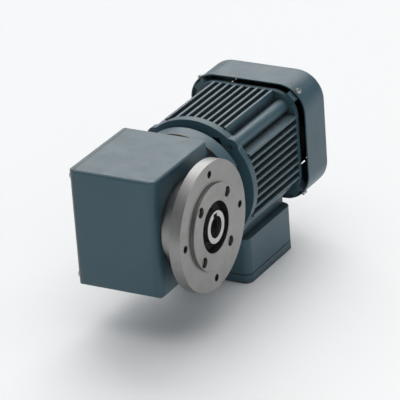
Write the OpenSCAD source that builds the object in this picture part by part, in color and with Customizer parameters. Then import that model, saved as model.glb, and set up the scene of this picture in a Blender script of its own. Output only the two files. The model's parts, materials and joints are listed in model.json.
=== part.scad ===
// Right-angle gearmotor: box-shaped spur and bevel gear unit with a hollow output shaft,
// flange-mounted asynchronous motor behind it and the terminal box underneath.
// Origin: on the output axis, halfway along the motor's width.
// +X leaves through the output flange, +Y runs along the motor to its fan, +Z is up.

/* [Gear housing] */
// Outer face of the side cover, measured from the motor axis
cover_face = 56; // [56:0.5:58]
// Face of the housing that carries the output flange, from the motor axis
flange_side = 32; // [32:0.5:34]
// Front face of the housing, from the output axis
housing_front = 46; // [44:0.5:50]
// Face that carries the motor, from the output axis
motor_face = 55; // [55:0.5:55]
// Overall height of the housing
housing_h = 112; // [112:1:120]
// Wall thickness of the castings
wall = 6; // [5:0.5:6]
// Radius of the housing's upright edges
edge_r = 9; // [4:1:12]
// Radius of the housing's other outer edges
face_r = 3.5; // [1:0.5:4]

/* [Output] */
// Radius of the hollow shaft's bore
bore_r = 10; // [9:0.5:10]
// Radius of the hollow shaft where it runs in its bearings
output_r = 15; // [15:0.5:15]
// Width of the keyway in the bore
keyway_w = 6; // [5:1:6]
// Radius of the output flange
flange_r = 60; // [58:1:60]
// Radius of the centring pilot on the flange
pilot_r = 40; // [40:1:42]
// Diameter of the circle of mounting holes
flange_pcd = 100; // [98:1:102]
// Radius of each mounting hole
flange_hole_r = 3.3; // [2.7:0.1:3.5]
// Mounting face of the flange, from the motor axis
flange_face = 62; // [62:0.5:63]

/* [Gears] */
// Module of the spur stage
spur_module = 1; // [1:1:1]
// Teeth on the motor pinion
motor_teeth = 11; // [11:1:11]
// Teeth on the spur wheel
wheel_teeth = 39; // [39:1:39]
// Outer module of the bevel stage
bevel_module = 1.65; // [1.65:0.01:1.65]
// Teeth on the bevel pinion
pinion_teeth = 10; // [10:1:10]
// Teeth on the crown wheel
crown_teeth = 42; // [42:1:42]
// Width of the bevel teeth along their cones
bevel_face = 11; // [9:0.5:11]

/* [Motor] */
// Half width and half height of the finned motor frame
frame_half = 54; // [54:0.5:55]
// Radius of the frame's corners
frame_corner_r = 24; // [22:1:26]
// Radius of the bore that holds the stator core
stator_r = 43; // [42.5:0.5:43]
// Length of the finned frame
frame_len = 92; // [92:1:92]
// Fins on each side of the frame
fins = 9; // [7:2:9]
// Thickness of a fin
fin_t = 2.4; // [1.8:0.2:3]
// Radius of the rotor core
rotor_r = 28.6; // [28:0.1:28.7]
// Stator slots
slots = 24; // [18:6:24]
// Blades on the fan
fan_blades = 9; // [7:1:12]

/* [Fan cowl] */
// Half width of the cowl
cowl_half_w = 60; // [60:0.5:61]
// Half height of the cowl
cowl_half_h = 58; // [58:0.5:60]
// Length of the cowl
cowl_len = 43; // [43:0.5:46]
// Thickness of the cowl
cowl_t = 1.6; // [1.2:0.1:2]

/* [Terminal box] */
// Outer width and length of the terminal box
term_w = 88; // [84:1:90]
// Bottom face of the lid, from the motor axis
term_bottom = 102; // [100:1:106]
// Thickness of the terminal box walls
term_wall = 3; // [2.5:0.5:3]

/* [Hidden] */
$fn = 64;

// Metric screws: thread radius, clearance hole, counterbore for the head
m4 = [1.7, 2.2, 4];
m5 = [2.1, 2.7, 4.7];
m6 = [2.5, 3.3, 5];

// Housing
half_h = housing_h / 2;
gasket_t = 0.5;
open_face = -cover_face + wall;
cavity_x1 = flange_side - wall;
cavity_y0 = -housing_front + wall;
cavity_y1 = motor_face - wall;
cavity_h = half_h - wall;
cover_screw_yz = [
    for (z = [-half_h + 8, half_h - 8]) for (y = [-housing_front + 8, 4.5, motor_face - 8]) [y, z]
];
cover_sink = 3;
boss_r = 6.5;
foot_xy = [for (x = [-42, 18]) for (y = [-30, 40]) [x, y]];
tapped_depth = 14;
plug_r = 5;
breather_yz = [-24, 43];
level_yz = [44, 0];
drain_xy = [-12, 5];

// Output shaft, its bearings (30 x 55 x 13) and seal (30 x 47 x 7)
out_bearing = [output_r, 18.6, 24, 27.5, 13];
out_ball = [3.6, 11];
out_left_x = -49;
out_right_x = 18;
collar_r = 19;
crown_seat_r = 17;
crown_front = -13;
crown_back = -1;
crown_key_y = [-3, 3];
crown_key_z = [-19.3, -14];
cap_r = 25;
seal_r = 23.5;
seal_w = 7;
flange_t = 11;
neck_r = 40;
pilot_h = 3;
shaft_end = flange_face + pilot_h;
seal_x = shaft_end - 15;
flange_screw_r = 34;
flange_screw_x = shaft_end - 8;

// Pinion shaft and its bearings (12 x 28 x 8)
shaft_x = -spur_module * (motor_teeth + wheel_teeth) / 2;
pinion_bearing = [6, 8, 12, 14, 8];
pinion_ball = [2.4, 8];
pinion_bearing_y = [38.5, 47];
clip_groove_r = 5.3;

// Tooth shape
pressure_angle = 25;
addendum = 0.8;
dedendum = 1.05;
backlash = 0.14;
flank_steps = 5;
wheel_y = [56.2, 65.2];
wheel_key_x = [shaft_x - 2, shaft_x + 2];
wheel_key_z = [3.5, 7.9];
motor_pinion_y = [55.7, 66];
pinion_cone = atan(pinion_teeth / crown_teeth);
cone_distance = bevel_module * crown_teeth / 2 / cos(pinion_cone);

// Motor along Y
adapter_flange_r = 56;
adapter_flange_side = 49;
adapter_flange_end = 71.5;
adapter_neck_r = 42.5;
adapter_plate_r = 60;
adapter_plate = 80;
adapter_screw_y = 64;
frame_y = 88;
frame_end = frame_y + frame_len;
adapter_screw_xz = [for (x = [-24.5, 24.5]) for (z = [-42, 42]) [x, z]];
tie_head_y = frame_end + 9;
tie_xz = [for (x = [-38.5, 38.5]) for (z = [-38.5, 38.5]) [x, z]];
rotor_bearing = [7.5, 10.2, 14.8, 17.5, 11];
rotor_ball = [3, 8];
rotor_bearing_y = [74.5, 178];
motor_seal_y = [67, 73];
stub_r = 3.5;
stub_end = 85;
core_y = [102, 160];
slot_r = [31.5, 37.5];
slot_w = 3;
cage_bars = 18;
cage_r = 25;
fan_y = 199;
fan_r = 50;
fan_eye_r = 30;
fan_hub_l = 18;
fan_seat_r = 6;
cowl_y = 186;
cowl_corner_r = 27;
cowl_screw_y = cowl_y + 5;
cowl_screw_r = 1.65;

// Terminal box
term_y = 134;
term_top = -frame_half - 4;
term_half = term_w / 2;
term_corner_r = 8;
lid_h = 8;
lid_plate = 3;
lid_gasket_t = 1;
lid_screw_xy = [for (x = [-37, 37]) for (y = [term_y - 37, term_y + 37]) [x, y]];
base_screw_xy = [for (x = [-22, 22]) for (y = [term_y - 32, term_y + 22]) [x, y]];
lead_y = 168;
stud_xy = [for (x = [-16, 0, 16]) for (y = [term_y - 9, term_y + 9]) [x, y]];
earth_xy = [33, term_y - 6];
earth_boss_h = 5;
entry_x = 19;
entry_z = term_top - 19;
entry_r = 8;

PAINT = [0.33, 0.39, 0.42];
STEEL = [0.62, 0.63, 0.65];
DARK_STEEL = [0.3, 0.31, 0.33];
ZINC = [0.75, 0.76, 0.74];
ALUMINIUM = [0.78, 0.79, 0.8];
COPPER = [0.72, 0.38, 0.18];
BRASS = [0.78, 0.62, 0.28];
PLASTIC = [0.08, 0.08, 0.09];
RUBBER = [0.14, 0.13, 0.13];
PAPER = [0.45, 0.4, 0.3];

// Building blocks

// Cylinder along X through [y, z]
module xcyl(r, x0, x1, yz = [0, 0]) {
    translate([x0, yz[0], yz[1]]) rotate([0, 90, 0]) cylinder(r = r, h = x1 - x0);
}

// Cylinder along Y through [x, z]
module ycyl(r, y0, y1, xz = [0, 0]) {
    translate([xz[0], y0, xz[1]]) rotate([-90, 0, 0]) cylinder(r = r, h = y1 - y0);
}

// Cylinder along Z through [x, y]
module zcyl(r, z0, z1, xy = [0, 0]) {
    translate([xy[0], xy[1], z0]) cylinder(r = r, h = z1 - z0);
}

// Box between two opposite corners
module block(low, high) {
    translate(low) cube(high - low);
}

module xtube(r_in, r_out, x0, x1, yz = [0, 0]) {
    difference() {
        xcyl(r_out, x0, x1, yz);
        xcyl(r_in, x0 - 1, x1 + 1, yz);
    }
}

module ytube(r_in, r_out, y0, y1, xz = [0, 0]) {
    difference() {
        ycyl(r_out, y0, y1, xz);
        ycyl(r_in, y0 - 1, y1 + 1, xz);
    }
}

// Rectangle with round corners, centred
module round_rect(half_a, half_b, r) {
    square([2 * (half_a - r), 2 * half_b], center = true);
    square([2 * half_a, 2 * (half_b - r)], center = true);
    for (a = [-1, 1]) for (b = [-1, 1])
        translate([a * (half_a - r), b * (half_b - r)]) circle(r = r);
}

// Extrusion along Y; the drawing's second axis becomes Z
module along_y(y0, y1) {
    translate([0, y1, 0]) rotate([90, 0, 0]) linear_extrude(y1 - y0) children();
}

// Hexagon socket screw whose head rests at 0 and whose shank goes down -Z
module socket_screw(r, len, head_h) {
    head_r = 1.7 * r;
    difference() {
        cylinder(r = head_r, h = head_h);
        translate([0, 0, head_h * 0.45]) cylinder(r = r, h = head_h, $fn = 6);
    }
    translate([0, 0, -len]) cylinder(r = r, h = len);
}

// Pan head screw with a cross recess, drawn like socket_screw
module pan_screw(r, len, head_h) {
    head_r = 1.9 * r;
    difference() {
        cylinder(r1 = head_r, r2 = head_r * 0.75, h = head_h);
        for (a = [0, 90])
            rotate(a) translate([0, 0, head_h])
                cube([head_r, r * 0.35, head_h], center = true);
    }
    translate([0, 0, -len]) cylinder(r = r, h = len);
}

// Hexagon plug whose head rests at 0: collar, head and thread
module hex_plug(r, len, head_h) {
    collar_h = 1.2;
    cylinder(r = 1.5 * r, h = collar_h);
    translate([0, 0, collar_h]) cylinder(r = 1.3 * r, h = head_h, $fn = 6);
    translate([0, 0, -len]) cylinder(r = r, h = len);
}

// Rings of a deep-groove ball bearing: b = [bore r, inner ring r, outer ring bore r, outer r, width]
// and ball = [ball r, number]; the axis is Z and the bearing stands on 0
groove_play = 0.08;

function pitch_r(b) = (b[1] + b[2]) / 2;

module raceway(b, ball) {
    translate([0, 0, b[4] / 2])
        rotate_extrude() translate([pitch_r(b), 0]) circle(r = ball[0] + groove_play, $fn = 32);
}

module outer_ring(b, ball) {
    difference() {
        cylinder(r = b[3], h = b[4]);
        translate([0, 0, -1]) cylinder(r = b[2], h = b[4] + 2);
        raceway(b, ball);
    }
}

module inner_ring(b, ball) {
    difference() {
        cylinder(r = b[1], h = b[4]);
        translate([0, 0, -1]) cylinder(r = b[0], h = b[4] + 2);
        raceway(b, ball);
    }
}

// Balls with the thin cage that spaces them
module ball_set(b, ball) {
    cage_t = 0.8;
    for (i = [0 : ball[1] - 1])
        rotate(i * 360 / ball[1]) translate([pitch_r(b), 0, b[4] / 2]) sphere(r = ball[0], $fn = 32);
    difference() {
        cylinder(r = pitch_r(b) + cage_t, h = b[4] * 0.8);
        translate([0, 0, -1]) cylinder(r = pitch_r(b) - cage_t, h = b[4]);
        translate([0, 0, -1]) cylinder(r = pitch_r(b) + 2 * cage_t, h = 1 + b[4] * 0.2);
    }
}

module on_x(x) {
    translate([x, 0, 0]) rotate([0, 90, 0]) children();
}

module on_y(y, x = 0) {
    translate([x, y, 0]) rotate([-90, 0, 0]) children();
}

// Teeth

function involute(a) = tan(a) * 180 / PI - a;

// One spur tooth about angle 0 as [radius, angle] pairs
function spur_tooth(m, z) =
    let (
        r = m * z / 2,
        base = r * cos(pressure_angle),
        root = r - dedendum * m,
        tip = r + addendum * m,
        start = max(base, root),
        half = 90 / z - backlash / 4 / r * 180 / PI,
        flank = [
            for (i = [0 : flank_steps])
                let (rho = start + (tip - start) * i / flank_steps)
                [rho, half + involute(pressure_angle) - involute(acos(min(1, base / rho)))]
        ]
    )
    concat(
        [[root, -flank[0][1]]],
        [for (p = flank) [p[0], -p[1]]],
        [for (i = [flank_steps : -1 : 0]) flank[i]],
        [[root, flank[0][1]]]
    );

// Outline of a spur gear with a tooth at angle `turn`
module spur_outline(m, z, turn) {
    polygon([
        for (k = [0 : z - 1]) for (p = spur_tooth(m, z))
            p[0] * [cos(p[1] + turn + k * 360 / z), sin(p[1] + turn + k * 360 / z)]
    ]);
}

// Spherical involute: azimuth gained between the base cone and polar angle t
function cone_roll(t, base) =
    acos(min(1, cos(t) / cos(base))) / sin(base) - acos(min(1, tan(base) / tan(t)));

// One bevel tooth about azimuth 0 as [polar angle, azimuth] pairs
function bevel_tooth(z, cone) =
    let (
        base = asin(sin(cone) * cos(pressure_angle)),
        tip = cone + addendum * bevel_module / cone_distance * 180 / PI,
        root = cone - dedendum * bevel_module / cone_distance * 180 / PI,
        start = max(base, root),
        half = 90 / z - backlash / 4 / (bevel_module * z / 2) * 180 / PI,
        flank = [
            for (i = [0 : flank_steps])
                let (t = start + (tip - start) * i / flank_steps)
                [t, half + cone_roll(cone, base) - cone_roll(t, base)]
        ]
    )
    concat(
        [[root, -flank[0][1]]],
        [for (p = flank) [p[0], -p[1]]],
        [for (i = [flank_steps : -1 : 0]) flank[i]],
        [[root, flank[0][1]]]
    );

// Bevel teeth with the apex at the origin and the axis along +Z, capped by flat cones that meet
// the axis at `back` behind the teeth and at `front` before them
module bevel_teeth(z, cone, turn, front, back) {
    outline = [
        for (k = [0 : z - 1]) for (p = bevel_tooth(z, cone))
            let (a = p[1] + turn + k * 360 / z)
            [sin(p[0]) * cos(a), sin(p[0]) * sin(a), cos(p[0])]
    ];
    n = len(outline);
    inner = cone_distance - bevel_face;
    polyhedron(
        points = concat(
            cone_distance * outline, inner * outline, [[0, 0, back], [0, 0, front]]
        ),
        faces = concat(
            [for (i = [0 : n - 1]) [2 * n, (i + 1) % n, i]],
            [for (i = [0 : n - 1]) [2 * n + 1, n + i, n + (i + 1) % n]],
            [for (i = [0 : n - 1]) [i, (i + 1) % n, n + (i + 1) % n, n + i]]
        )
    );
}

// Gear unit

// Whole outside of the casing, cover included, rounded along all its edges
module casing() {
    half = [(flange_side + cover_face) / 2, (motor_face + housing_front) / 2, half_h];
    translate([(flange_side - cover_face) / 2, (motor_face - housing_front) / 2, 0]) intersection() {
        translate([0, 0, -half.z]) linear_extrude(2 * half.z) round_rect(half.x, half.y, edge_r);
        along_y(-half.y, half.y) round_rect(half.x, half.z, face_r);
        rotate([90, 0, 90]) translate([0, 0, -half.x])
            linear_extrude(2 * half.x) round_rect(half.y, half.z, face_r);
    }
}

module gear_housing() {
    cavity_mid = [(open_face + cavity_x1) / 2, (cavity_y0 + cavity_y1) / 2];
    bearing_wall = 3;
    shaft_boss_r = 19;
    color(PAINT) difference() {
        union() {
            difference() {
                casing();
                block([-cover_face - 1, -housing_front - 1, -half_h - 1],
                      [open_face, motor_face + 1, half_h + 1]);
                block([open_face - 1, cavity_y0, -cavity_h], [cavity_x1, cavity_y1, cavity_h]);
            }
            xcyl(neck_r, out_right_x - bearing_wall, cavity_x1 + 1);
            ycyl(shaft_boss_r, pinion_bearing_y[0] - 1.5, cavity_y1 + 1, [shaft_x, 0]);
            for (p = cover_screw_yz) xcyl(boss_r, open_face, open_face + 16, p);
            for (p = adapter_screw_xz) ycyl(boss_r, motor_face - tapped_depth, motor_face - 1, p);
            for (p = foot_xy) zcyl(boss_r, -half_h + 1, -half_h + tapped_depth, p);
            zcyl(boss_r + 3, -half_h + 1, -half_h + wall + 4, drain_xy);
        }
        xcyl(out_bearing[3], out_right_x, flange_side + 1);
        xcyl(seal_r + 1, out_right_x - bearing_wall - 1, out_right_x + 1);
        ycyl(pinion_bearing[3], pinion_bearing_y[0], motor_face + 1, [shaft_x, 0]);
        ycyl(11, pinion_bearing_y[0] - 3, motor_face, [shaft_x, 0]);
        for (p = cover_screw_yz) xcyl(m5[0], open_face - 1, open_face + 13, p);
        for (p = adapter_screw_xz) ycyl(m6[0], motor_face - tapped_depth + 2, motor_face + 1, p);
        for (p = foot_xy) zcyl(m6[0], -half_h - 1, -half_h + tapped_depth - 2, p);
        zcyl(plug_r, -half_h - 1, -half_h + wall + 5, drain_xy);
        for (a = [45 : 90 : 315])
            xcyl(m5[0], out_right_x + 1, flange_side + 1, flange_screw_r * [cos(a), sin(a)]);
    }
}

module side_cover() {
    boss = 33;
    color(PAINT) difference() {
        union() {
            intersection() {
                casing();
                block([-cover_face, -housing_front, -half_h],
                      [open_face - gasket_t, motor_face, half_h]);
            }
            xcyl(boss, open_face - gasket_t - 1, out_left_x + out_bearing[4]);
        }
        xcyl(out_bearing[3], out_left_x, 0);
        xcyl(cap_r, -cover_face - 1, 0);
        for (p = cover_screw_yz) {
            xcyl(m5[1], -cover_face - 1, 0, p);
            xcyl(m5[2], -cover_face - 1, -cover_face + cover_sink, p);
        }
        xcyl(plug_r, -cover_face - 1, 0, breather_yz);
        xcyl(plug_r, -cover_face - 1, 0, level_yz);
    }
}

module cover_gasket() {
    color(PAPER) difference() {
        intersection() {
            casing();
            block([open_face - gasket_t, -housing_front, -half_h],
                  [open_face, motor_face, half_h]);
        }
        difference() {
            block([open_face - 1, cavity_y0, -cavity_h], [0, cavity_y1, cavity_h]);
            for (p = cover_screw_yz) xcyl(boss_r, open_face - 2, 1, p);
        }
        for (p = cover_screw_yz) xcyl(m5[1], open_face - 1, 0, p);
    }
}

module cover_screws() {
    color(ZINC) for (p = cover_screw_yz)
        translate([-cover_face + cover_sink, p[0], p[1]]) rotate([0, -90, 0])
            socket_screw(m5[0], 14, cover_sink);
}

module closing_cap() {
    cap_t = 1.5;
    face = -cover_face + 0.3;
    color(RUBBER) {
        xcyl(cap_r, face, face + cap_t);
        xtube(cap_r - cap_t, cap_r, face + cap_t, out_left_x - 0.2);
    }
}

module breather_plug() {
    color(BRASS) translate([-cover_face, breather_yz[0], breather_yz[1]]) rotate([0, -90, 0]) {
        hex_plug(plug_r, 5, 3.5);
        translate([0, 0, 4.7]) cylinder(r = 4, h = 2.6);
    }
}

module oil_plugs() {
    color(ZINC) {
        translate([-cover_face, level_yz[0], level_yz[1]]) rotate([0, -90, 0])
            hex_plug(plug_r, 5, 3.5);
        translate([drain_xy[0], drain_xy[1], -half_h + 0.5]) difference() {
            cylinder(r = plug_r, h = 8);
            translate([0, 0, -1]) cylinder(r = plug_r * 0.55, h = 5, $fn = 6);
        }
    }
}

module output_flange() {
    spigot = 1;
    bore = 20.5;
    color(STEEL) difference() {
        union() {
            xcyl(flange_r, flange_face - flange_t, flange_face);
            xcyl(pilot_r, flange_face - 1, shaft_end);
            xcyl(neck_r, flange_side, flange_face - 1);
            xcyl(out_bearing[3], flange_side - spigot, flange_side + 1);
        }
        xcyl(bore, 0, shaft_end + 1);
        xcyl(seal_r, seal_x, shaft_end + 1);
        for (a = [0 : 90 : 270])
            xcyl(flange_hole_r, 0, shaft_end, flange_pcd / 2 * [cos(a), sin(a)]);
        for (a = [45 : 90 : 315]) {
            xcyl(m5[1], 0, shaft_end + 1, flange_screw_r * [cos(a), sin(a)]);
            xcyl(m5[2], flange_screw_x, shaft_end + 1, flange_screw_r * [cos(a), sin(a)]);
        }
    }
}

module flange_screws() {
    color(ZINC) for (a = [45 : 90 : 315])
        translate([flange_screw_x, flange_screw_r * cos(a), flange_screw_r * sin(a)])
            rotate([0, 90, 0]) socket_screw(m5[0], flange_screw_x - flange_side + 10, 5);
}

module output_seal() {
    running_gap = 0.06;
    end = seal_x + seal_w;
    color(RUBBER) {
        xtube(seal_r - 2, seal_r, seal_x, end);
        xtube(output_r + 3, seal_r - 1.9, end - 1.5, end);
        xtube(output_r + running_gap, output_r + 3.1, seal_x + 1, end);
    }
}

module hollow_shaft() {
    left = out_left_x - 0.5;
    groove_r = 14.3;
    groove_x = out_right_x + out_bearing[4] + 0.05;
    color(STEEL) difference() {
        union() {
            xcyl(output_r, left, shaft_end);
            xcyl(collar_r, out_left_x + out_bearing[4], crown_front);
            xcyl(crown_seat_r, crown_front - 1, crown_back);
        }
        xcyl(bore_r, left - 1, shaft_end + 1);
        block([left - 1, -keyway_w / 2, 0], [shaft_end + 1, keyway_w / 2, bore_r + 2.8]);
        block([crown_front + 1, crown_key_y[0], crown_key_z[0] - 1],
              [crown_back - 1, crown_key_y[1], crown_key_z[1]]);
        xtube(groove_r, output_r + 3, groove_x, groove_x + 1.3);
    }
}

module crown_gear() {
    hub_r = 24;
    web_r = 34;
    web_x = [shaft_x + 10, -6];
    color(STEEL) difference() {
        union() {
            translate([shaft_x, 0, 0]) rotate([0, 90, 0]) rotate(90 + 180 / crown_teeth)
                bevel_teeth(crown_teeth, 90 - pinion_cone, 0, 12, 21);
            xcyl(web_r, web_x[0], web_x[1]);
            xcyl(hub_r, web_x[1] - 1, crown_back);
        }
        xcyl(crown_seat_r, crown_front - 20, 10);
        xcyl(collar_r + 0.3, crown_front - 20, crown_front);
        block([crown_front - 1, crown_key_y[0], crown_key_z[0] - 0.2], [10, crown_key_y[1], 0]);
    }
}

module crown_key() {
    color(STEEL) block([crown_front + 1, crown_key_y[0], crown_key_z[0]],
                       [crown_back - 1, crown_key_y[1], crown_key_z[1]]);
}

module shaft_spacer() {
    color(STEEL) xtube(output_r + 0.02, 18.4, crown_back, out_right_x);
}

module shaft_circlip() {
    x0 = out_right_x + out_bearing[4] + 0.1;
    color(DARK_STEEL) difference() {
        xtube(14.35, 17.4, x0, x0 + 1.2);
        block([x0 - 1, -2.5, 0], [x0 + 2, 2.5, 20]);
    }
}

module output_bearing_outer_rings() {
    color(STEEL) for (x = [out_left_x, out_right_x]) on_x(x) outer_ring(out_bearing, out_ball);
}

module output_bearing_inner_rings() {
    color(STEEL) for (x = [out_left_x, out_right_x]) on_x(x) inner_ring(out_bearing, out_ball);
}

module output_bearing_balls() {
    color(STEEL) for (x = [out_left_x, out_right_x]) on_x(x) ball_set(out_bearing, out_ball);
}

// Pinion shaft group

module pinion_shaft() {
    first = pinion_bearing_y[0];
    color(STEEL) difference() {
        union() {
            translate([shaft_x, 0, 0]) rotate([-90, 0, 0])
                bevel_teeth(pinion_teeth, pinion_cone, 0, 23.3, 36);
            ycyl(7.6, first - 2, first, [shaft_x, 0]);
            ycyl(pinion_bearing[0], first - 4, wheel_y[1] + 2.2, [shaft_x, 0]);
        }
        block([wheel_key_x[0], wheel_y[0] + 1, wheel_key_z[0]],
              [wheel_key_x[1], wheel_y[1] + 3, wheel_key_z[1]]);
        ytube(clip_groove_r, 8, wheel_y[1] + 0.05, wheel_y[1] + 1.25, [shaft_x, 0]);
    }
}

module spur_wheel() {
    recess = 2;
    hub_r = 9.5;
    rim_r = 16;
    color(STEEL) difference() {
        translate([shaft_x, 0, 0]) along_y(wheel_y[0], wheel_y[1])
            spur_outline(spur_module, wheel_teeth, 180 / wheel_teeth);
        ycyl(pinion_bearing[0], 0, 90, [shaft_x, 0]);
        block([wheel_key_x[0], 0, 0], [wheel_key_x[1], 90, wheel_key_z[1] + 0.1]);
        ytube(hub_r, rim_r, wheel_y[0] - 1, wheel_y[0] + recess, [shaft_x, 0]);
        ytube(hub_r, rim_r, wheel_y[1] - recess, wheel_y[1] + 1, [shaft_x, 0]);
        for (a = [0 : 60 : 300])
            ycyl(2.2, 0, 90, [shaft_x, 0] + (hub_r + rim_r) / 2 * [cos(a), sin(a)]);
    }
}

module spur_wheel_key() {
    color(STEEL) block([wheel_key_x[0], wheel_y[0] + 1, wheel_key_z[0]],
                       [wheel_key_x[1], wheel_y[1], wheel_key_z[1]]);
}

module spur_wheel_circlip() {
    y0 = wheel_y[1] + 0.1;
    color(DARK_STEEL) difference() {
        ytube(clip_groove_r + 0.05, 7.6, y0, y0 + 1, [shaft_x, 0]);
        block([shaft_x - 2.2, y0 - 1, 0], [shaft_x + 2.2, y0 + 2, 9]);
    }
}

module pinion_bearing_outer_rings() {
    color(STEEL) for (y = pinion_bearing_y) on_y(y, shaft_x) outer_ring(pinion_bearing, pinion_ball);
}

module pinion_bearing_inner_rings() {
    color(STEEL) {
        for (y = pinion_bearing_y) on_y(y, shaft_x) inner_ring(pinion_bearing, pinion_ball);
        ytube(pinion_bearing[0], 7.6, pinion_bearing_y[1] + pinion_bearing[4], wheel_y[0], [shaft_x, 0]);
    }
}

module pinion_bearing_balls() {
    color(STEEL) for (y = pinion_bearing_y) on_y(y, shaft_x) ball_set(pinion_bearing, pinion_ball);
}

// Motor

// Round front flange, cut flat beside the output flange
module adapter_front(y0, y1) {
    intersection() {
        ycyl(adapter_flange_r, y0, y1);
        block([-adapter_flange_r, y0, -adapter_flange_r],
              [adapter_flange_side, y1, adapter_flange_r]);
    }
}

// Room for the spur wheel and for the motor pinion
module wheel_room(y0, y1) {
    ycyl(22.5, y0, y1, [shaft_x, 0]);
    ycyl(14, y0, y1);
}

module motor_adapter() {
    rib = [adapter_flange_r - 9, 2];
    color(PAINT) difference() {
        union() {
            adapter_front(motor_face + gasket_t, adapter_flange_end);
            ycyl(adapter_neck_r, adapter_flange_end - 1, adapter_plate + 1);
            ycyl(adapter_plate_r, adapter_plate, frame_y);
            for (p = tie_xz) ycyl(8.5, adapter_plate, frame_y, p);
            for (a = [0 : 45 : 315]) rotate([0, a, 0])
                block([0, adapter_flange_end - 1, -rib[1]], [rib[0], adapter_plate + 1, rib[1]]);
        }
        wheel_room(motor_face, wheel_y[1] + 3.2);
        ycyl(14, motor_face, motor_seal_y[1]);
        ycyl(11, motor_face, rotor_bearing_y[0] + 1);
        ycyl(rotor_bearing[3], rotor_bearing_y[0], frame_y + 1);
        ytube(24, stator_r - 2, adapter_plate + 2, frame_y + 1);
        for (p = adapter_screw_xz) {
            ycyl(m6[1], motor_face, frame_y + 1, p);
            ycyl(m6[2], adapter_screw_y, frame_y + 1, p);
        }
        for (p = tie_xz) ycyl(m6[0], adapter_plate - 1, frame_y + 1, p);
    }
}

module adapter_gasket() {
    color(PAPER) intersection() {
        difference() {
            ycyl(adapter_flange_r, motor_face, motor_face + gasket_t);
            wheel_room(motor_face - 1, motor_face + 1);
            for (p = adapter_screw_xz) ycyl(m6[1], motor_face - 1, frame_y, p);
        }
        translate([0, 2 * face_r, 0]) casing();
    }
}

module adapter_screws() {
    color(ZINC) for (p = adapter_screw_xz)
        translate([p[0], adapter_screw_y, p[1]]) rotate([-90, 0, 0]) socket_screw(m6[0], 20, 5);
}

module motor_shaft_seal() {
    running_gap = 0.06;
    end = motor_seal_y[1];
    color(RUBBER) {
        ytube(12.2, 14, motor_seal_y[0], end);
        ytube(9.5, 12.3, end - 1.2, end);
        ytube(rotor_bearing[0] + running_gap, 9.6, motor_seal_y[0] + 1, end);
    }
}

module motor_pinion() {
    color(STEEL) {
        along_y(motor_pinion_y[0], motor_pinion_y[1]) spur_outline(spur_module, motor_teeth, 180);
        ycyl(7, motor_pinion_y[1], motor_seal_y[0]);
        ycyl(stub_r, motor_seal_y[0] - 0.5, stub_end);
    }
}

module rotor_shaft() {
    front = rotor_bearing_y[0];
    rear = rotor_bearing_y[1];
    width = rotor_bearing[4];
    color(STEEL) difference() {
        union() {
            ycyl(rotor_bearing[0], motor_seal_y[0], rear + width + 1);
            ycyl(9.5, front + width, core_y[0] - 4);
            ycyl(10, core_y[0] - 4, core_y[1] + 4);
            ycyl(9.5, core_y[1] + 4, rear);
            ycyl(fan_seat_r, rear + width, fan_y + fan_hub_l + 3);
        }
        ycyl(stub_r, motor_seal_y[0] - 1, stub_end + 1);
        ytube(clip_groove_r, 7, fan_y + fan_hub_l + 0.05, fan_y + fan_hub_l + 1.15);
    }
}

module rotor_core() {
    color(DARK_STEEL) difference() {
        ytube(10, rotor_r, core_y[0], core_y[1]);
        for (i = [0 : cage_bars - 1]) let (a = i * 360 / cage_bars)
            ycyl(2.2, 0, 300, cage_r * [cos(a), sin(a)]);
    }
}

module rotor_cage() {
    ring_t = 4;
    vane_l = 4;
    color(ALUMINIUM) {
        for (y = [core_y[0] - ring_t, core_y[1]]) ytube(18, rotor_r - 0.4, y, y + ring_t);
        for (i = [0 : cage_bars - 1]) let (a = i * 360 / cage_bars)
            ycyl(2.2, core_y[0] - 1, core_y[1] + 1, cage_r * [cos(a), sin(a)]);
        for (i = [0 : 5]) rotate([0, i * 60, 0])
            block([20, core_y[1] + ring_t - 1, -1], [27, core_y[1] + ring_t + vane_l, 1]);
    }
}

module rotor_bearing_outer_rings() {
    color(STEEL) for (y = rotor_bearing_y) on_y(y) outer_ring(rotor_bearing, rotor_ball);
}

module rotor_bearing_inner_rings() {
    color(STEEL) for (y = rotor_bearing_y) on_y(y) inner_ring(rotor_bearing, rotor_ball);
}

module rotor_bearing_balls() {
    color(STEEL) for (y = rotor_bearing_y) on_y(y) ball_set(rotor_bearing, rotor_ball);
}

// Cross-section of the finned frame before it is bored
module frame_section() {
    shell_r = stator_r + 4;
    fin_span = frame_half - frame_corner_r;
    pitch = 2 * fin_span / (fins - 1);
    fin_root = sqrt(shell_r * shell_r - fin_span * fin_span) - 1;
    boss = 7;
    intersection() {
        round_rect(frame_half, frame_half, frame_corner_r);
        union() {
            circle(r = shell_r);
            for (side = [0 : 90 : 270]) rotate(side) for (i = [0 : fins - 1])
                translate([i * pitch - fin_span - fin_t / 2, fin_root])
                    square([fin_t, frame_half - fin_root + 1]);
            for (p = tie_xz) {
                translate(p) circle(r = boss);
                rotate(atan2(p[1], p[0])) translate([stator_r + 2, -3]) square([norm(p) - stator_r, 6]);
            }
        }
    }
}

module stator_housing() {
    pad = 36;
    pad_top = -35;
    plate_pad = [24, 17];
    end_gap = 4;
    color(PAINT) difference() {
        union() {
            along_y(frame_y, frame_end) frame_section();
            block([-pad, frame_y + end_gap, term_top], [pad, frame_end - end_gap, pad_top]);
            block([-frame_half, term_y - plate_pad[0], -plate_pad[1]],
                  [-stator_r - 1, term_y + plate_pad[0], plate_pad[1]]);
        }
        ycyl(stator_r, frame_y - 1, frame_end + 1);
        for (p = tie_xz) ycyl(m6[0] + 0.3, frame_y - 1, frame_end + 1, p);
        zcyl(entry_r, term_top - 1, -20, [0, lead_y]);
        for (p = base_screw_xy) zcyl(m4[0], term_top - 1, term_top + 10, p);
    }
}

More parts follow.
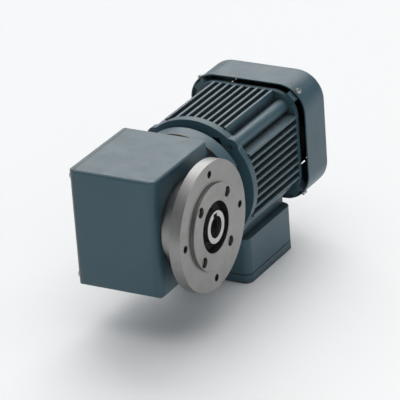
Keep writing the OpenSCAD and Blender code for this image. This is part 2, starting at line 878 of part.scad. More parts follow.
module stator_core() {
    tooth_gap = 2.2;
    color(DARK_STEEL) difference() {
        ytube(rotor_r + 0.4, stator_r, core_y[0], core_y[1]);
        for (i = [0 : slots - 1]) rotate([0, i * 360 / slots, 0]) {
            block([slot_r[0], core_y[0] - 1, -slot_w / 2], [slot_r[1], core_y[1] + 1, slot_w / 2]);
            block([rotor_r - 1, core_y[0] - 1, -tooth_gap / 2],
                  [slot_r[0] + 1, core_y[1] + 1, tooth_gap / 2]);
        }
    }
}

module stator_winding() {
    overhang = 9;
    liner = 0.3;
    color(COPPER) {
        for (y = [core_y[0] - overhang - liner, core_y[1] + liner])
            ytube(slot_r[0], slot_r[1] + 3, y, y + overhang);
        for (i = [0 : slots - 1]) rotate([0, i * 360 / slots, 0])
            block([slot_r[0] + liner, core_y[0] - 1, -slot_w / 2 + liner],
                  [slot_r[1] - liner, core_y[1] + 1, slot_w / 2 - liner]);
    }
}

module winding_leads() {
    lead_r = 1.1;
    top = -slot_r[1] - 3.5;
    bend_z = term_top - 10;
    color(RUBBER) for (x = [-4, 0, 4]) {
        zcyl(lead_r, bend_z, top, [x, lead_y]);
        translate([x, lead_y, bend_z]) sphere(r = lead_r);
        ycyl(lead_r, term_y + 17.5, lead_y, [x, bend_z]);
    }
}

module rear_shield() {
    spigot = 4;
    plate_t = 5;
    lug_end = cowl_corner(cowl_t) - 1.3;
    lug_half = 5;
    boss = 24;
    rear = rotor_bearing_y[1] + rotor_bearing[4];
    color(PAINT) difference() {
        union() {
            along_y(frame_end, frame_end + plate_t)
                round_rect(frame_half - 1, frame_half - 1, frame_corner_r - 1);
            ytube(stator_r - 4, stator_r - 0.05, frame_end - spigot, frame_end + 1);
            ycyl(boss, rotor_bearing_y[1] - 1, rear + 4);
            for (p = tie_xz) ycyl(7.5, frame_end, tie_head_y, p);
            for (a = [45 : 90 : 315]) rotate([0, a, 0]) {
                block([stator_r, frame_end, -lug_half], [lug_end, tie_head_y, lug_half]);
                block([lug_end - 8, frame_end, -lug_half],
                      [lug_end, cowl_screw_y + 4, lug_half]);
            }
            for (a = [0 : 30 : 330]) rotate([0, a, 0])
                block([boss - 1, frame_end + 1, -1.5], [stator_r, frame_end + plate_t + 4, 1.5]);
        }
        ycyl(rotor_bearing[3], rotor_bearing_y[1] - 2, rear + 1.2);
        ycyl(8.5, 0, 300);
        for (p = tie_xz) {
            ycyl(m6[0] + 0.3, frame_end - 1, cowl_y + 10, p);
            ycyl(m6[2], tie_head_y, tie_head_y + 10, p);
        }
        cowl_screw_holes(cowl_screw_r);
    }
}

// Ring bent into three waves, from one ring's worth of points per corner
module wave_spring() {
    steps = 72;
    waves = 3;
    lift = 0.35;
    half_t = 0.15;
    corners = [[14, -half_t], [17, -half_t], [17, half_t], [14, half_t]];
    mid = rotor_bearing_y[1] + rotor_bearing[4] + lift + half_t + 0.1;
    color(DARK_STEEL) on_y(mid) polyhedron(
        points = [
            for (i = [0 : steps - 1]) let (a = i * 360 / steps) for (c = corners)
                [c[0] * cos(a), c[0] * sin(a), c[1] + lift * sin(waves * a)]
        ],
        faces = [
            for (i = [0 : steps - 1]) for (k = [0 : 3])
                let (j = (i + 1) % steps, n = (k + 1) % 4) each [
                    [4 * i + k, 4 * j + n, 4 * i + n],
                    [4 * i + k, 4 * j + k, 4 * j + n]
                ]
        ]
    );
}

module tie_bolts() {
    color(ZINC) for (p = tie_xz)
        translate([p[0], tie_head_y, p[1]]) rotate([-90, 0, 0])
            socket_screw(m6[0], tie_head_y - adapter_plate - 1, 5);
}

module fan() {
    hub_r = 10;
    sheet = 2;
    blade_t = 1.6;
    blade_h = 17;
    color(PLASTIC) difference() {
        union() {
            ycyl(hub_r, fan_y, fan_y + fan_hub_l);
            ycyl(fan_r, fan_y, fan_y + sheet);
            ytube(fan_eye_r, fan_r, fan_y + blade_h, fan_y + blade_h + sheet);
            for (i = [0 : fan_blades - 1]) rotate([0, i * 360 / fan_blades, 0])
                block([hub_r - 1, fan_y + 0.5, -blade_t / 2],
                      [fan_r - 0.5, fan_y + blade_h + 0.5, blade_t / 2]);
        }
        ycyl(fan_seat_r, fan_y - 1, fan_y + fan_hub_l + 1);
    }
}

module fan_clip() {
    color(DARK_STEEL) difference() {
        ytube(clip_groove_r + 0.05, 8, fan_y + fan_hub_l + 0.1, fan_y + fan_hub_l + 1.1);
        block([-2.4, fan_y + fan_hub_l - 1, 0], [2.4, fan_y + fan_hub_l + 2, 9]);
    }
}

// Distance from the axis to a corner of the cowl, `inset` below its outside
function cowl_corner(inset) =
    let (a = cowl_half_w - cowl_corner_r, b = cowl_half_h - cowl_corner_r, r = cowl_corner_r - inset)
    (a + b + sqrt(2 * r * r - (a - b) * (a - b))) / sqrt(2);

// Rounded-square can that closes towards the rear, shrunk all round by `inset`
module cowl_solid(inset, y0, rear) {
    bulge = [[0, 6], [1.8, 2], [5, 0]];
    hull() for (b = bulge)
        along_y(y0, rear - b[1])
            round_rect(cowl_half_w - inset - b[0], cowl_half_h - inset - b[0],
                       cowl_corner_r - inset - b[0]);
}

module fan_cowl() {
    rear = cowl_y + cowl_len;
    ring_w = 4;
    color(PAINT) difference() {
        cowl_solid(0, cowl_y, rear);
        cowl_solid(cowl_t, cowl_y - 1, rear - cowl_t);
        difference() {
            for (r = [12 : 7 : 47]) ytube(r, r + ring_w, rear - 3, rear + 1);
            for (a = [0 : 45 : 135]) rotate([0, a, 0])
                block([-60, rear - 4, -1.5], [60, rear + 2, 1.5]);
        }
        cowl_screw_holes(cowl_screw_r + 0.5);
    }
}

// One hole through each corner
module cowl_screw_holes(r) {
    for (a = [45 : 90 : 315]) rotate([0, a, 0])
        xcyl(r, cowl_corner(0) - 10, cowl_corner(0) + 1, [cowl_screw_y, 0]);
}

module cowl_screws() {
    color(ZINC) for (a = [45 : 90 : 315]) rotate([0, a, 0])
        translate([cowl_corner(0), cowl_screw_y, 0]) rotate([0, 90, 0])
            pan_screw(cowl_screw_r, 9, 2);
}

module nameplate() {
    plate = [22, 15];
    thick = 0.6;
    color(ALUMINIUM) {
        block([-frame_half - thick, term_y - plate[0], -plate[1]],
              [-frame_half, term_y + plate[0], plate[1]]);
        for (y = [-1, 1]) for (z = [-1, 1])
            translate([-frame_half - thick, term_y + y * (plate[0] - 3), z * (plate[1] - 3)])
                rotate([0, -90, 0]) cylinder(r1 = 1.4, r2 = 0.9, h = 0.6);
    }
}

// Terminal box

module term_outline(inset = 0) {
    translate([0, term_y]) round_rect(term_half - inset, term_half - inset, term_corner_r - inset);
}

module term_prism(z0, z1, inset = 0) {
    translate([0, 0, z0]) linear_extrude(z1 - z0) term_outline(inset);
}

module entry_holes(r) {
    for (x = [-entry_x, entry_x]) ycyl(r, term_y + 20, term_y + term_half + 1, [x, entry_z]);
}

module terminal_base() {
    rim = -term_bottom + lid_h + lid_gasket_t;
    color(PAINT) difference() {
        union() {
            difference() {
                term_prism(rim, term_top);
                term_prism(rim - 1, term_top - term_wall, term_wall);
            }
            intersection() {
                for (p = lid_screw_xy) zcyl(5, rim, term_top - 1, p);
                term_prism(rim, term_top);
            }
            for (x = [-entry_x, entry_x])
                ycyl(11, term_y + term_half - 6, term_y + term_half, [x, entry_z]);
            zcyl(5, term_top - term_wall - earth_boss_h, term_top - 1, earth_xy);
        }
        zcyl(m4[0], term_top - term_wall - earth_boss_h - 1, term_top - 1, earth_xy);
        for (p = lid_screw_xy) zcyl(m4[0], rim - 1, rim + 18, p);
        for (p = base_screw_xy) zcyl(m4[1], term_top - 10, term_top + 1, p);
        zcyl(entry_r, term_top - 10, term_top + 1, [0, lead_y]);
        entry_holes(entry_r);
    }
}

module terminal_base_screws() {
    color(ZINC) for (p = base_screw_xy)
        translate([p[0], p[1], term_top - term_wall]) rotate([180, 0, 0])
            pan_screw(m4[0], 11, 2.5);
}

module terminal_gasket() {
    z0 = -term_bottom + lid_h;
    color(RUBBER) difference() {
        term_prism(z0, z0 + lid_gasket_t, 0.4);
        difference() {
            term_prism(z0 - 1, z0 + lid_gasket_t + 1, term_wall);
            for (p = lid_screw_xy) zcyl(5, z0 - 2, z0 + 3, p);
        }
        for (p = lid_screw_xy) zcyl(m4[1], z0 - 1, z0 + 3, p);
    }
}

module terminal_lid() {
    top = -term_bottom + lid_h;
    color(PAINT) difference() {
        union() {
            difference() {
                term_prism(-term_bottom, top);
                term_prism(-term_bottom + lid_plate, top + 1, term_wall);
            }
            intersection() {
                for (p = lid_screw_xy) zcyl(5.5, -term_bottom, top, p);
                term_prism(-term_bottom, top);
            }
        }
        for (p = lid_screw_xy) {
            zcyl(m4[1], -term_bottom - 1, top + 1, p);
            zcyl(m4[2], -term_bottom - 1, -term_bottom + lid_plate, p);
        }
    }
}

module lid_screws() {
    color(ZINC) for (p = lid_screw_xy)
        translate([p[0], p[1], -term_bottom + lid_plate]) rotate([180, 0, 0])
            pan_screw(m4[0], 14, 2.5);
}

module terminal_block() {
    top = term_top - term_wall;
    body = [26, 17];
    thick = 8;
    barrier_h = 7;
    color(PLASTIC) difference() {
        union() {
            block([-body[0], term_y - body[1], top - thick], [body[0], term_y + body[1], top]);
            for (x = [-24, -8, 8, 24])
                block([x - 1, term_y - body[1], top - thick - barrier_h],
                      [x + 1, term_y + body[1], top - thick + 1]);
        }
        for (p = stud_xy) zcyl(2, top - thick - 1, top - 2, p);
        for (p = base_screw_xy) zcyl(m4[2], top - thick - 1, top + 1, p);
    }
}

module terminal_studs() {
    deck = term_top - term_wall - 8;
    nut_h = 2.4;
    strip_t = 1;
    color(BRASS) {
        for (p = stud_xy) {
            zcyl(2, deck - 11, deck + 5, p);
            translate([p[0], p[1], deck - strip_t - nut_h]) cylinder(r = 4, h = nut_h, $fn = 6);
        }
        for (x = [-16, 0, 16])
            block([x - 3, term_y - 12, deck - strip_t], [x + 3, term_y + 12, deck]);
    }
}

module earth_screw() {
    color(BRASS) translate([earth_xy[0], earth_xy[1], term_top - term_wall - earth_boss_h])
        rotate([180, 0, 0]) {
            cylinder(r = 4.5, h = 0.8);
            translate([0, 0, 0.8]) pan_screw(m4[0], 6.5, 2.4);
        }
}

module cable_gland() {
    wall_y = term_y + term_half;
    xz = [entry_x, entry_z];
    color(PLASTIC) difference() {
        union() {
            ycyl(entry_r - 0.05, wall_y - 8, wall_y + 1, xz);
            translate([xz[0], wall_y, xz[1]]) rotate([-90, 0, 0]) cylinder(r = 11.5, h = 5, $fn = 6);
            ycyl(9.2, wall_y + 4, wall_y + 9, xz);
            translate([xz[0], wall_y + 8, xz[1]]) rotate([-90, 0, 0])
                cylinder(r = 11, h = 7, $fn = 6);
            translate([xz[0], wall_y + 15, xz[1]]) rotate([-90, 0, 0])
                cylinder(r1 = 9.5, r2 = 7, h = 5);
        }
        ycyl(5.5, wall_y - 9, wall_y + 21, xz);
        ycyl(7, wall_y + 2, wall_y + 16, xz);
    }
}

module gland_insert() {
    wall_y = term_y + term_half;
    color(RUBBER) ytube(4, 7, wall_y + 2.2, wall_y + 15.8, [entry_x, entry_z]);
}

module blanking_plug() {
    wall_y = term_y + term_half;
    xz = [-entry_x, entry_z];
    color(PLASTIC) {
        ycyl(entry_r - 0.05, wall_y - 8, wall_y + 1, xz);
        difference() {
            ycyl(10.5, wall_y, wall_y + 4, xz);
            block([xz[0] - 8, wall_y + 2.5, xz[1] - 1], [xz[0] + 8, wall_y + 5, xz[1] + 1]);
        }
    }
}

gear_housing();
side_cover();
cover_gasket();
cover_screws();
closing_cap();
breather_plug();
oil_plugs();
output_flange();
flange_screws();
output_seal();
hollow_shaft();
crown_gear();
crown_key();
shaft_spacer();
shaft_circlip();
output_bearing_outer_rings();
output_bearing_inner_rings();
output_bearing_balls();
pinion_shaft();
spur_wheel();
spur_wheel_key();
spur_wheel_circlip();
pinion_bearing_outer_rings();
pinion_bearing_inner_rings();
pinion_bearing_balls();
motor_adapter();
adapter_gasket();
adapter_screws();
motor_shaft_seal();
motor_pinion();
rotor_shaft();
rotor_core();
rotor_cage();
rotor_bearing_outer_rings();
rotor_bearing_inner_rings();
rotor_bearing_balls();
stator_housing();
stator_core();
stator_winding();
winding_leads();
rear_shield();
wave_spring();
tie_bolts();
fan();
fan_clip();
fan_cowl();
cowl_screws();
nameplate();
terminal_base();
terminal_base_screws();
terminal_gasket();
terminal_lid();
lid_screws();
terminal_block();
terminal_studs();
earth_screw();
cable_gland();
gland_insert();
blanking_plug();
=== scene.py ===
import json
import math

import bpy
from mathutils import Matrix, Vector


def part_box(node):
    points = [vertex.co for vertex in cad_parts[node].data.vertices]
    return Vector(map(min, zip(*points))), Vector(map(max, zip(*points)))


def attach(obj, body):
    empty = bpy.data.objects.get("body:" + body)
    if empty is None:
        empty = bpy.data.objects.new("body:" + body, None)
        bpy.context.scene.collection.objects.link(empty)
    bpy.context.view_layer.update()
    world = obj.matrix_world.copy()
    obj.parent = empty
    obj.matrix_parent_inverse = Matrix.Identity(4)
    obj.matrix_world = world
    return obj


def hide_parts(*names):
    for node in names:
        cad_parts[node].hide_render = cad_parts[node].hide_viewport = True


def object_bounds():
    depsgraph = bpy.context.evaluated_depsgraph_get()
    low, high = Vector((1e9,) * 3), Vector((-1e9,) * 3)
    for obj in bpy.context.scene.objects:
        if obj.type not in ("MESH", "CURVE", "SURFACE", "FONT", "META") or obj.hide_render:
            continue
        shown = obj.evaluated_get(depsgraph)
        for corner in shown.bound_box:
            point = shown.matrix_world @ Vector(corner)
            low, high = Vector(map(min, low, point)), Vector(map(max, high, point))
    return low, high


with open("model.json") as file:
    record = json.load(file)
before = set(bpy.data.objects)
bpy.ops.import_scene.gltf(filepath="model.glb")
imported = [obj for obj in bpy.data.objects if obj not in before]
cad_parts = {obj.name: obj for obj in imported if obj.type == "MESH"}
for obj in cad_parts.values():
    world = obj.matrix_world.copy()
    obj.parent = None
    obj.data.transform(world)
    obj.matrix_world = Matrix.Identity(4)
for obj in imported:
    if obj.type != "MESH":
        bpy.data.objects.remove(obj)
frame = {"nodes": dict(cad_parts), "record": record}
CAD_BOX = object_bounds()
NODES = frame["nodes"]
SLOT_OF = {part["node"]: part["material_slot"] for part in frame["record"]["subparts"]}
MM = 0.001

# --- Camera --------------------------------------------------------------------------------------

CAMERA_AT = Vector((1.331, -2.176, 1.178))
PHOTO_FORWARD = Vector((-0.3203, 0.7293, -0.6045))
PHOTO_UP = Vector((-0.2307, 0.5589, 0.7965))
FILL = 0.80  # share of the frame that the object spans
SENSOR = 36
CLIP_NEAR = 0.1
CLIP_FAR = 50


def add_camera():
    """The photograph's viewpoint and roll, turned to the object and zoomed in on it."""
    low, high = CAD_BOX
    target = (low + high) / 2
    forward = (target - CAMERA_AT).normalized()
    turn = PHOTO_FORWARD.rotation_difference(forward)
    up = turn @ PHOTO_UP
    right = forward.cross(up).normalized()
    up = right.cross(forward)
    axes = Matrix((right, up, -forward)).transposed()
    corners = [Vector((x, y, z)) for x in (low.x, high.x) for y in (low.y, high.y)
               for z in (low.z, high.z)]
    seen = [axes.transposed() @ (corner - CAMERA_AT) for corner in corners]
    reach = max(max(abs(p.x), abs(p.y)) / -p.z for p in seen)
    data = bpy.data.cameras.new("camera")
    data.sensor_width = SENSOR
    data.lens = SENSOR / 2 / (reach / FILL)
    data.clip_start = CLIP_NEAR
    data.clip_end = CLIP_FAR
    camera = bpy.data.objects.new("camera", data)
    camera.matrix_world = Matrix.Translation(CAMERA_AT) @ axes.to_4x4()
    bpy.context.scene.collection.objects.link(camera)
    bpy.context.scene.camera = camera


add_camera()

# --- Light and floor -----------------------------------------------------------------------------

LIT_POINT = (0, 0.08, 0)
SKY_TINT = (0.93, 0.96, 1, 1)
WHITE = (1, 1, 1, 1)
FLOOR_HALF = 40
FLOOR_DROP = 0.3 * MM  # keeps the floor clear of the lowest face


def aim(light, at, to):
    """Puts a light at one place and turns it to another."""
    light.location = at
    light.rotation_euler = (Vector(to) - Vector(at)).to_track_quat("-Z", "Y").to_euler()
    bpy.context.scene.collection.objects.link(light)


def add_area(name, at, size, watts):
    """A soft box that faces the object."""
    data = bpy.data.lights.new(name, "AREA")
    data.shape = "RECTANGLE"
    data.size, data.size_y = size
    data.energy = watts
    aim(bpy.data.objects.new(name, data), at, LIT_POINT)


def add_sky(name, at, spread, strength):
    """A round patch of bright sky, the same over the whole floor."""
    data = bpy.data.lights.new(name, "SUN")
    data.angle = math.radians(spread)
    data.energy = strength
    aim(bpy.data.objects.new(name, data), at, LIT_POINT)


def add_world(strength, backdrop):
    """Even light from all round, with a brighter plain backdrop behind the object."""
    world = bpy.data.worlds.new("studio")
    world.use_nodes = True
    tree = world.node_tree
    light = tree.nodes["Background"]
    light.inputs["Color"].default_value = SKY_TINT
    light.inputs["Strength"].default_value = strength
    seen = tree.nodes.new("ShaderNodeBackground")
    seen.inputs["Color"].default_value = WHITE
    seen.inputs["Strength"].default_value = backdrop
    pick = tree.nodes.new("ShaderNodeMixShader")
    tree.links.new(tree.nodes.new("ShaderNodeLightPath").outputs["Is Camera Ray"],
                   pick.inputs["Fac"])
    tree.links.new(light.outputs["Background"], pick.inputs[1])
    tree.links.new(seen.outputs["Background"], pick.inputs[2])
    tree.links.new(pick.outputs["Shader"], tree.nodes["World Output"].inputs["Surface"])
    bpy.context.scene.world = world


def add_floor(material):
    """A wide pale floor under the object's lowest point."""
    low, _ = CAD_BOX
    corners = [(-FLOOR_HALF, -FLOOR_HALF, 0), (FLOOR_HALF, -FLOOR_HALF, 0),
               (FLOOR_HALF, FLOOR_HALF, 0), (-FLOOR_HALF, FLOOR_HALF, 0)]
    mesh = bpy.data.meshes.new("floor")
    mesh.from_pydata(corners, [], [(0, 1, 2, 3)])
    mesh.materials.append(material)
    floor = bpy.data.objects.new("floor", mesh)
    floor.location.z = low.z - FLOOR_DROP
    bpy.context.scene.collection.objects.link(floor)


# --- Materials -----------------------------------------------------------------------------------


class Shader:
    """A Principled material with short calls for the nodes used here."""

    def __init__(self, name):
        self.material = bpy.data.materials.new(name)
        self.material.use_nodes = True
        self.tree = self.material.node_tree
        self.bsdf = self.tree.nodes["Principled BSDF"]
        self.place = self.add("ShaderNodeTexCoord").outputs["Object"]

    def add(self, kind, **settings):
        node = self.tree.nodes.new(kind)
        for key, value in settings.items():
            setattr(node, key, value)
        return node

    def link(self, source, socket):
        self.tree.links.new(source, socket)

    def put(self, value, socket):
        """A socket's value, from a number, a colour or another node's output."""
        if isinstance(value, bpy.types.NodeSocket):
            self.link(value, socket)
        else:
            socket.default_value = value

    def set(self, **inputs):
        for key, value in inputs.items():
            self.put(value, self.bsdf.inputs[key.replace("_", " ")])

    def noise(self, scale, detail=2.0, rough=0.5, stretch=(1, 1, 1), at=None):
        """Noise with about `scale` features to the metre, read at `at` or else at the object."""
        node = self.add("ShaderNodeTexNoise")
        mapping = self.add("ShaderNodeMapping")
        mapping.inputs["Scale"].default_value = stretch
        self.link(at or self.place, mapping.inputs["Vector"])
        self.link(mapping.outputs["Vector"], node.inputs["Vector"])
        node.inputs["Scale"].default_value = scale
        node.inputs["Detail"].default_value = detail
        node.inputs["Roughness"].default_value = rough
        return node.outputs["Fac"]

    def ramp(self, value, low, high, to_low=0.0, to_high=1.0):
        """Eases from to_low to to_high while the value goes from low to high."""
        node = self.add("ShaderNodeMapRange", interpolation_type="SMOOTHSTEP")
        self.put(value, node.inputs["Value"])
        node.inputs["From Min"].default_value = low
        node.inputs["From Max"].default_value = high
        node.inputs["To Min"].default_value = to_low
        node.inputs["To Max"].default_value = to_high
        return node.outputs["Result"]

    def math(self, operation, a, b=0.0):
        node = self.add("ShaderNodeMath", operation=operation)
        self.put(a, node.inputs[0])
        self.put(b, node.inputs[1])
        return node.outputs["Value"]

    def mix(self, share, a, b, kind="RGBA"):
        """Between two colours, or between two numbers where kind is FLOAT."""
        socket_type = {"RGBA": "RGBA", "FLOAT": "VALUE"}[kind]
        node = self.add("ShaderNodeMix", data_type=kind)
        self.put(share, node.inputs["Factor"])
        for name, value in (("A", a), ("B", b)):
            self.put(value, [s for s in node.inputs if s.name == name and s.type == socket_type][0])
        return [s for s in node.outputs if s.type == socket_type][0]

    def bump(self, height, distance, strength=1.0, after=None):
        node = self.add("ShaderNodeBump")
        node.inputs["Distance"].default_value = distance
        node.inputs["Strength"].default_value = strength
        self.link(height, node.inputs["Height"])
        if after is not None:
            self.link(after, node.inputs["Normal"])
        return node.outputs["Normal"]

    def edges(self, radius):
        """1 on sharp edges, 0 on flat ground."""
        bevel = self.add("ShaderNodeBevel", samples=4)
        bevel.inputs["Radius"].default_value = radius
        geometry = self.add("ShaderNodeNewGeometry")
        dot = self.add("ShaderNodeVectorMath", operation="DOT_PRODUCT")
        self.link(bevel.outputs["Normal"], dot.inputs[0])
        self.link(geometry.outputs["Normal"], dot.inputs[1])
        return self.ramp(self.math("SUBTRACT", 1.0, dot.outputs["Value"]), 0.02, 0.25)

    def hollows(self, distance):
        """Ambient occlusion for painted shade: 1 deep in corners and grooves, 0 on open ground."""
        node = self.add("ShaderNodeAmbientOcclusion", samples=8, only_local=False)
        node.inputs["Distance"].default_value = distance
        return self.ramp(node.outputs["AO"], 0.35, 0.95, 1.0, 0.0)

    def upward(self):
        """1 on faces that look up."""
        split = self.add("ShaderNodeSeparateXYZ")
        self.link(self.add("ShaderNodeNewGeometry").outputs["Normal"], split.inputs["Vector"])
        return self.ramp(split.outputs["Z"], 0.5, 0.95)

    def turned(self, axis, centre):
        """Place measured as distance from a line along an axis and as distance along it."""
        shift = self.add("ShaderNodeVectorMath", operation="SUBTRACT")
        self.link(self.place, shift.inputs[0])
        shift.inputs[1].default_value = centre
        split = self.add("ShaderNodeSeparateXYZ")
        self.link(shift.outputs["Vector"], split.inputs["Vector"])
        along = split.outputs[axis]
        across = [split.outputs[name] for name in "XYZ" if name != axis]
        radius = self.math("SQRT", self.math("ADD", self.math("MULTIPLY", across[0], across[0]),
                                             self.math("MULTIPLY", across[1], across[1])))
        join = self.add("ShaderNodeCombineXYZ")
        self.link(radius, join.inputs["X"])
        self.link(along, join.inputs["Y"])
        return join.outputs["Vector"]


def floor_material():
    s = Shader("floor")
    s.set(Base_Color=(0.93, 0.93, 0.925, 1), Roughness=0.8)
    return s.material


PAINT = (0.040, 0.089, 0.115, 1)
PAINT_PALE = (0.049, 0.101, 0.127, 1)
PAINT_RUBBED = (0.17, 0.22, 0.24, 1)
# Pale colour for dust on upward faces, which also paints them lighter as if lit from above.
DUST_AND_PAINTED_TOP_LIGHT = (0.36, 0.36, 0.345, 1)
# Dark colour for dirt and painted shade in the grooves of the paint.
GRIME_AND_PAINTED_SHADE = (0.028, 0.030, 0.030, 1)


def paint():
    """Satin enamel on castings: fine orange peel over a cast skin, pale dust on what looks up,
    which also paints those faces lighter as if lit from above, dirt with painted shade in the
    grooves and a rubbed line along the edges."""
    s = Shader("blue_grey_paint")
    colour = s.mix(s.ramp(s.noise(14, 4, 0.55), 0.3, 0.7), PAINT, PAINT_PALE)
    patches = s.ramp(s.noise(130, 4, 0.7), 0.25, 0.65, 0.25, 0.8)
    # Painted shade with dirt: ambient occlusion darkens corners and grooves, in noisy patches.
    grime_and_painted_shade = s.math("MULTIPLY", s.hollows(9 * MM), patches)
    colour = s.mix(grime_and_painted_shade, colour, GRIME_AND_PAINTED_SHADE)
    specks = s.ramp(s.noise(1500, 1, 0.5), 0.60, 0.72)
    # Dust on upward faces, whose even share also paints every top face lighter, as if lit from
    # above.
    settled = s.ramp(s.noise(60, 6, 0.6), 0.3, 0.7, 0.07, 0.16)
    dust_and_painted_top_light = s.math("MULTIPLY", s.upward(), s.math("ADD", settled, s.math("MULTIPLY", specks, 0.08)))
    dust_and_painted_top_light = s.math("MULTIPLY", dust_and_painted_top_light, s.math("SUBTRACT", 1.0, grime_and_painted_shade))
    colour = s.mix(dust_and_painted_top_light, colour, DUST_AND_PAINTED_TOP_LIGHT)
    rubbed = s.math("MULTIPLY", s.edges(0.8 * MM), s.ramp(s.noise(210, 4, 0.7), 0.44, 0.60))
    colour = s.mix(s.math("MULTIPLY", rubbed, 0.7), colour, PAINT_RUBBED)
    gloss = s.ramp(s.noise(55, 4, 0.6), 0.3, 0.7, 0.30, 0.40)
    rough = s.mix(s.math("MAXIMUM", dust_and_painted_top_light, grime_and_painted_shade), gloss, 0.85, kind="FLOAT")
    skin = s.bump(s.noise(260, 3, 0.55), 0.16 * MM, 0.5)
    peel = s.bump(s.noise(1000, 2, 0.5), 0.05 * MM, 0.5, after=skin)
    s.set(Base_Color=colour, Roughness=rough, Normal=peel, Specular_IOR_Level=0.35)
    return s.material


def metal(name, tint, dark, roughness, grain=(1, 1, 1), scale=700.0, depth=0.01, line=None,
          stained=0.25, lustre=0.0):
    """Bare metal: light staining, painted shade in the hollows and fine tool marks. The marks run
    round the `line`, an axis and a point on it, or else along the grain."""
    s = Shader(name)
    stain = s.ramp(s.noise(70, 6, 0.65), 0.40, 0.75, 0.0, stained)
    # Painted shade: ambient occlusion darkens the hollows, over the real stains.
    soiled_and_painted_shade = s.math("MAXIMUM", stain, s.math("MULTIPLY", s.hollows(4 * MM), 0.7))
    if line:
        marks = s.noise(scale, 4, 0.7, at=s.turned(*line))
    else:
        marks = s.noise(scale, 3, 0.6, stretch=grain)
    soiled_and_painted_shade = s.math("ADD", soiled_and_painted_shade, s.ramp(marks, 0.35, 0.65, 0.22, 0.0))
    rough = s.ramp(marks, 0.3, 0.7, roughness * 0.75, roughness * 1.3)
    s.set(Base_Color=s.mix(soiled_and_painted_shade, tint, dark), Roughness=rough, Metallic=1.0,
          Normal=s.bump(marks, depth * MM, 0.6), Anisotropic=lustre)
    if lustre:
        s.link(s.add("ShaderNodeTangent", direction_type="RADIAL", axis=line[0]).outputs["Tangent"],
               s.bsdf.inputs["Tangent"])
    return s.material


def polymer(name, tint, pale, roughness):
    """Moulded plastic, rubber or fibre sheet: fine texture, paler worn edges, light dust."""
    s = Shader(name)
    rubbed = s.math("MULTIPLY", s.edges(0.4 * MM), 0.5)
    settled = s.ramp(s.noise(80, 3), 0.4, 0.8, 0.05, 0.4)
    shade = s.math("ADD", rubbed, s.math("MULTIPLY", s.upward(), settled))
    grain = s.noise(900, 2, 0.5)
    s.set(Base_Color=s.mix(shade, tint, pale),
          Roughness=s.ramp(grain, 0.3, 0.7, roughness * 0.85, min(1.0, roughness * 1.15)),
          Normal=s.bump(grain, 0.03 * MM, 0.5))
    return s.material


def wound_wire():
    """Enamelled copper under amber varnish, with painted shade between the strands."""
    s = Shader("enamelled_copper")
    varnish = s.ramp(s.noise(160, 4, 0.6), 0.35, 0.7, 0.0, 0.5)
    # Painted shade between the strands, by ambient occlusion, over the patchy varnish tone.
    shade = s.math("MAXIMUM", varnish, s.hollows(2 * MM))
    s.set(Base_Color=s.mix(shade, (0.50, 0.17, 0.06, 1), (0.13, 0.035, 0.014, 1)),
          Roughness=s.ramp(varnish, 0.0, 0.5, 0.24, 0.36), Metallic=0.85,
          Normal=s.bump(s.noise(1500, 2, 0.5), 0.05 * MM, 0.5))
    return s.material


OUTPUT_LINE = ("X", (0, 0, 0))  # an axis and a point on it
MOTOR_LINE = ("Y", (0, 0, 0))
STEEL = (0.50, 0.50, 0.50, 1)
STEEL_DARK = (0.24, 0.23, 0.22, 1)


def pinion_line():
    """The line that the spur wheel and the pinion shaft turn about."""
    low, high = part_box("spur_wheel")
    return ("Y", tuple((low + high) / 2))


def build_materials():
    """One material for each slot of the record."""
    return {
        "blue_grey_paint": paint(),
        "machined_steel": metal("machined_steel", STEEL, STEEL_DARK, 0.30, line=OUTPUT_LINE),
        "spring_steel": metal("spring_steel", (0.10, 0.10, 0.11, 1), (0.04, 0.04, 0.04, 1), 0.38),
        "bearing_steel": metal("bearing_steel", (0.62, 0.62, 0.64, 1), (0.4, 0.4, 0.4, 1), 0.15,
                               depth=0.003),
        "zinc_plate": metal("zinc_plate", (0.52, 0.53, 0.51, 1), (0.26, 0.26, 0.24, 1), 0.34,
                            depth=0.005),
        "lamination_steel": metal("lamination_steel", (0.15, 0.15, 0.17, 1), (0.06, 0.05, 0.05, 1),
                                  0.5, grain=(0.05, 1, 0.05), scale=2000, depth=0.04),
        "machined_iron": metal("machined_iron", (0.30, 0.30, 0.295, 1), (0.15, 0.14, 0.125, 1),
                               0.36, scale=1100, depth=0.03, line=OUTPUT_LINE, lustre=0.6),
        "bare_aluminium": metal("bare_aluminium", (0.66, 0.67, 0.68, 1), (0.42, 0.42, 0.42, 1),
                                0.36, grain=(1, 0.04, 1), depth=0.006),
        "enamelled_copper": wound_wire(),
        "yellow_brass": metal("yellow_brass", (0.58, 0.41, 0.15, 1), (0.28, 0.19, 0.08, 1), 0.3,
                              depth=0.005),
        "black_plastic": polymer("black_plastic", (0.012, 0.012, 0.013, 1), (0.06, 0.06, 0.06, 1),
                                 0.42),
        "black_rubber": polymer("black_rubber", (0.016, 0.016, 0.016, 1), (0.06, 0.06, 0.06, 1),
                                0.72),
        "gasket_paper": polymer("gasket_paper", (0.15, 0.115, 0.07, 1), (0.22, 0.18, 0.12, 1), 0.9),
    }


MATERIALS = build_materials()
MOTOR_STEEL = metal("machined_steel_motor", STEEL, STEEL_DARK, 0.30, line=MOTOR_LINE)
PINION_STEEL = metal("machined_steel_pinion", STEEL, STEEL_DARK, 0.30, line=pinion_line())
OWN_MATERIAL = {
    "rotor_shaft": MOTOR_STEEL,
    "motor_pinion": MOTOR_STEEL,
    "pinion_shaft": PINION_STEEL,
    "spur_wheel": PINION_STEEL,
}

add_floor(floor_material())
add_world(strength=0.34, backdrop=0.93)
add_sky("key", at=(-0.85, 1.9, 1.75), spread=50, strength=1.5)
add_sky("top", at=(0.2, 0.2, 2.4), spread=70, strength=1.1)
add_area("front", at=(1.6, -1.6, 0.9), size=(0.9, 1.2), watts=3)
bpy.context.scene.view_settings.view_transform = "Standard"

# --- CAD nodes -----------------------------------------------------------------------------------

